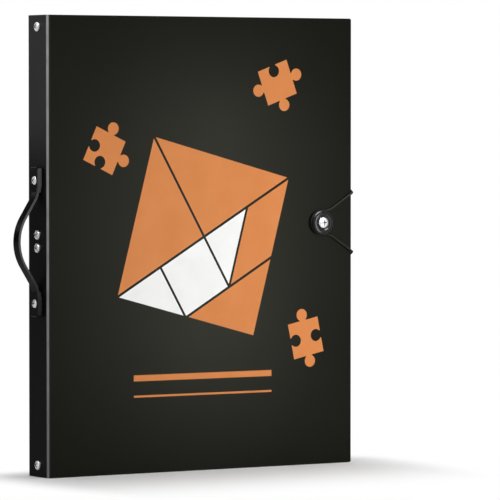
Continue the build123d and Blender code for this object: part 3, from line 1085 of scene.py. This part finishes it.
# %% Weld tree
def weld_tree_for_pockets():
    size, place = "NodeSocketFloat", "NodeSocketVector"
    tree, make, enter, leave = geometry_tree(
        "pocket welds",
        [
            ("Pocket Low", place, (0.02, 0.0, 0.008)),
            ("Pocket High", place, (0.34, 0.0, 0.438)),
            ("Leaf Middle", size, 0.0),
            ("Face Height", size, 0.42 * MM),
            ("Bead Width", size, 1.4 * MM),
            ("Bead Height", size, 0.12 * MM),
            ("Mark Spacing", size, 45.0 * MM),
            ("Mark Radius", size, 7.0 * MM),
            ("Mark Inset", size, 4.0 * MM),
            ("Finish", "NodeSocketMaterial", None),
        ],
        "Welds",
    )
    given = enter.outputs
    maths, moved, vector = make.maths, make.moved, make.vector
    low, high = make.split(given["Pocket Low"]), make.split(given["Pocket High"])
    tall = maths("SUBTRACT", high[2], low[2])
    long = maths("SUBTRACT", high[0], low[0])
    inset = maths("MULTIPLY", given["Bead Width"], 0.5)
    flat = maths("DIVIDE", given["Bead Height"], inset)
    upright, level = make.cylinder(8, inset, tall), make.cylinder(8, inset, long)
    middle_z = maths("MULTIPLY", maths("ADD", low[2], high[2]), 0.5)
    middle_x = maths("MULTIPLY", maths("ADD", low[0], high[0]), 0.5)
    left, right = maths("ADD", low[0], inset), maths("SUBTRACT", high[0], inset)
    foot = vector(middle_x, 0.0, maths("ADD", low[2], inset))
    thin = vector(1.0, flat, 1.0)
    beads = [
        moved(upright, vector(left, 0.0, middle_z), scale=thin),
        moved(upright, vector(right, 0.0, middle_z), scale=thin),
        moved(moved(level, turn=(0.0, radians(90), 0.0)), foot, scale=thin),
    ]
    half_sweep, mark_thickness, sheet_drop = radians(32), 0.16 * MM, -0.27
    arc_values = {
        "Resolution": 9, "Radius": given["Mark Radius"],
        "Start Angle": -half_sweep, "Sweep Angle": 2 * half_sweep,
    }
    ring_values = {"Resolution": 6, "Radius": mark_thickness}
    half_mark = make.node("GeometryNodeCurveArc", arc_values, mode="RADIUS").outputs[0]
    thread = make.node("GeometryNodeCurvePrimitiveCircle", ring_values, mode="RADIUS").outputs[0]
    mark_values = {"Curve": half_mark, "Profile Curve": thread, "Fill Caps": True}
    mark = make.node("GeometryNodeCurveToMesh", mark_values).outputs[0]
    upright_mark = moved(mark, turn=(radians(90), 0.0, 0.0))
    spacing = given["Mark Spacing"]
    count = maths("FLOOR", maths("DIVIDE", tall, spacing))
    first = maths("ADD", low[2], maths("MULTIPLY", spacing, 0.5))
    margin_x = maths("SUBTRACT", low[0], given["Mark Inset"])
    start_x = maths("SUBTRACT", margin_x, given["Mark Radius"])
    start_y = maths("MULTIPLY", given["Face Height"], sheet_drop)
    start = vector(start_x, start_y, first)
    row_values = {"Count": count, "Start Location": start, "Offset": vector(z=spacing)}
    row = make.node("GeometryNodeMeshLine", row_values, mode="OFFSET", count_mode="TOTAL")
    spread = {"Points": row.outputs[0], "Instance": upright_mark}
    marks = make.node("GeometryNodeInstanceOnPoints", spread)
    one_face = make.joined(*beads, marks.outputs[0])
    outer = maths("ADD", given["Leaf Middle"], given["Face Height"])
    inner = maths("SUBTRACT", given["Leaf Middle"], given["Face Height"])
    both = make.joined(
        moved(one_face, vector(y=outer)),
        moved(one_face, vector(y=inner), scale=(1.0, -1.0, 1.0)),
    )
    make.finished(both, given["Finish"], leave, "Welds")
    return tree


weld_tree = weld_tree_for_pockets()
weld_white = skin_plastic(
    "weld line", (0.62, 0.63, 0.64), (0.5, 0.51, 0.52), (0.22, 0.34),
    grain=900.0, patches=30.0, specular=0.5, bump_height=0.00002,
)

# %% Welds for every leaf
weld_faces = 0
for leaf in leaf_bodies:
    low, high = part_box(leaf + "_pockets")
    values = {
        "Pocket Low": tuple(low),
        "Pocket High": tuple(high),
        "Leaf Middle": (low.y + high.y) / 2,
        "Face Height": (high.y - low.y) / 2,
        "Finish": weld_white,
    }
    mesh = result_of_tree(leaf + "_welds", new_mesh(leaf + "_start", []), weld_tree, values, 50)
    weld_faces += len(mesh.polygons)
    piece_from_mesh(leaf + "_welds", mesh, weld_white, leaf)
print("weld faces on all leaves:", weld_faces)

# %% [markdown]
# ## Print on the front cover
# The cover is screen printed in opaque orange and white ink. This picture is a plain one: a
# seven-piece tangram, three jigsaw pieces and two rules. Ink is a real layer, so each shape is a
# thin closed solid that stands a twentieth of a millimetre proud of the sheet.

# %% Inks
ink_proud = 0.05 * MM
ink_sunk = 0.02 * MM
orange_ink = skin_plastic(
    "orange screen ink", (0.655, 0.222, 0.054), (0.62, 0.204, 0.047), (0.5, 0.6),
    grain=5200.0, patches=40.0, specular=0.2, bump_height=0.00001,
)
white_ink = skin_plastic(
    "white screen ink", (0.9, 0.9, 0.89), (0.85, 0.85, 0.84), (0.5, 0.6),
    grain=5200.0, patches=40.0, specular=0.2, bump_height=0.00001,
)


def printed(name, outlines, material):
    """Thin solids on the front cover from closed outlines of (across, up) pairs in metres."""
    shape = bmesh.new()
    for outline in outlines:
        inner = [shape.verts.new((x, front_face + ink_sunk, z)) for x, z in outline]
        outer = [shape.verts.new((x, front_face - ink_proud, z)) for x, z in outline]
        shape.faces.new(inner)
        shape.faces.new(outer[::-1])
        for k in range(len(outline)):
            n = (k + 1) % len(outline)
            shape.faces.new((inner[k], outer[k], outer[n], inner[n]))
    shape.normal_update()
    many_sided = [face for face in shape.faces if len(face.verts) > 4]
    bmesh.ops.triangulate(shape, faces=many_sided)
    return piece_from_mesh(name, mesh_from_bmesh(name, shape), material, "front")


def placed_flat(points, middle, size, lean):
    """Scales and turns an outline and puts it on the cover. Lean is in degrees."""
    turn = radians(lean)
    return [
        (
            middle[0] + size * (x * cos(turn) - z * sin(turn)),
            middle[1] + size * (x * sin(turn) + z * cos(turn)),
        )
        for x, z in points
    ]


# %% Tangram
tangram_middle = (176.0 * MM, 232.0 * MM)
tangram_side = 165.0 * MM
tangram_lean = -15.0
tangram_gap = 2.6 * MM
orange_parts = [
    [(0, 0), (0.5, 0.5), (0, 1)],
    [(0, 1), (0.5, 0.5), (1, 1)],
    [(1, 0), (1, 0.5), (0.5, 0)],
    [(0.75, 0.25), (1, 0.5), (1, 1), (0.75, 0.75)],
]
white_parts = [
    [(0.5, 0), (0.75, 0.25), (0.5, 0.5), (0.25, 0.25)],
    [(0, 0), (0.5, 0), (0.25, 0.25)],
    [(0.5, 0.5), (0.75, 0.25), (0.75, 0.75)],
]


def drawn_in(outline, gap):
    """Moves every side of a convex outline inwards by half the gap."""
    area = sum(a[0] * b[1] - b[0] * a[1] for a, b in zip(outline, outline[1:] + outline[:1]))
    ring = outline if area > 0 else outline[::-1]
    count = len(ring)
    lines = []
    for k in range(count):
        ax, az = ring[k]
        bx, bz = ring[(k + 1) % count]
        length = hypot(bx - ax, bz - az)
        nx, nz = -(bz - az) / length, (bx - ax) / length
        lines.append((nx, nz, nx * ax + nz * az + gap / 2))
    points = []
    for k in range(count):
        a, b = lines[k - 1], lines[k]
        cross = a[0] * b[1] - a[1] * b[0]
        points.append(((a[2] * b[1] - a[1] * b[2]) / cross, (a[0] * b[2] - a[2] * b[0]) / cross))
    return points


def tangram(outlines):
    made = []
    for outline in outlines:
        inner = drawn_in(outline, tangram_gap / tangram_side)
        centred = [(x - 0.5, z - 0.5) for x, z in inner]
        made.append(placed_flat(centred, tangram_middle, tangram_side, tangram_lean))
    return made


# %% Jigsaw pieces
knob_radius, knob_rise, knob_neck = 0.17, 0.16, 0.1


def jigsaw_outline(knobs):
    """A unit square piece. Knobs gives each side 1 for a knob or -1 for a socket, foot first."""
    corners = [(-0.5, -0.5), (0.5, -0.5), (0.5, 0.5), (-0.5, 0.5)]
    mouth = asin(knob_neck / knob_radius)
    sweep = 2 * pi - 2 * mouth
    points = []
    for k, knob in enumerate(knobs):
        ax, az = corners[k]
        bx, bz = corners[(k + 1) % 4]
        run = (bx - ax, bz - az)
        out = (run[1], -run[0])
        side = [(0.0, 0.0), (0.5 - knob_neck, 0.0)]
        for i in range(25):
            angle = -pi / 2 - mouth - sweep * i / 24
            away = knob * (knob_rise + knob_radius * sin(angle))
            side.append((0.5 + knob_radius * cos(angle), away))
        side.append((0.5 + knob_neck, 0.0))
        for on, away in side:
            points.append((ax + run[0] * on + out[0] * away, az + run[1] * on + out[1] * away))
    return points


jigsaw_side = 36.0 * MM
jigsaws = [
    placed_flat(jigsaw_outline((1, 1, -1, 1)), (262.0 * MM, 385.0 * MM), jigsaw_side, 20.0),
    placed_flat(jigsaw_outline((-1, 1, 1, -1)), (62.0 * MM, 318.0 * MM), jigsaw_side, -25.0),
    placed_flat(jigsaw_outline((1, -1, 1, -1)), (296.0 * MM, 128.0 * MM), jigsaw_side, 12.0),
]
rule_left, rule_right = 95.0 * MM, 255.0 * MM
rules = []
for middle, width in ((94.0 * MM, 6.0 * MM), (76.0 * MM, 2.0 * MM)):
    low, high = middle - width / 2, middle + width / 2
    rules.append([(rule_left, low), (rule_right, low), (rule_right, high), (rule_left, high)])
printed("orange_print", tangram(orange_parts) + jigsaws + rules, orange_ink)
printed("white_print", tangram(white_parts), white_ink)
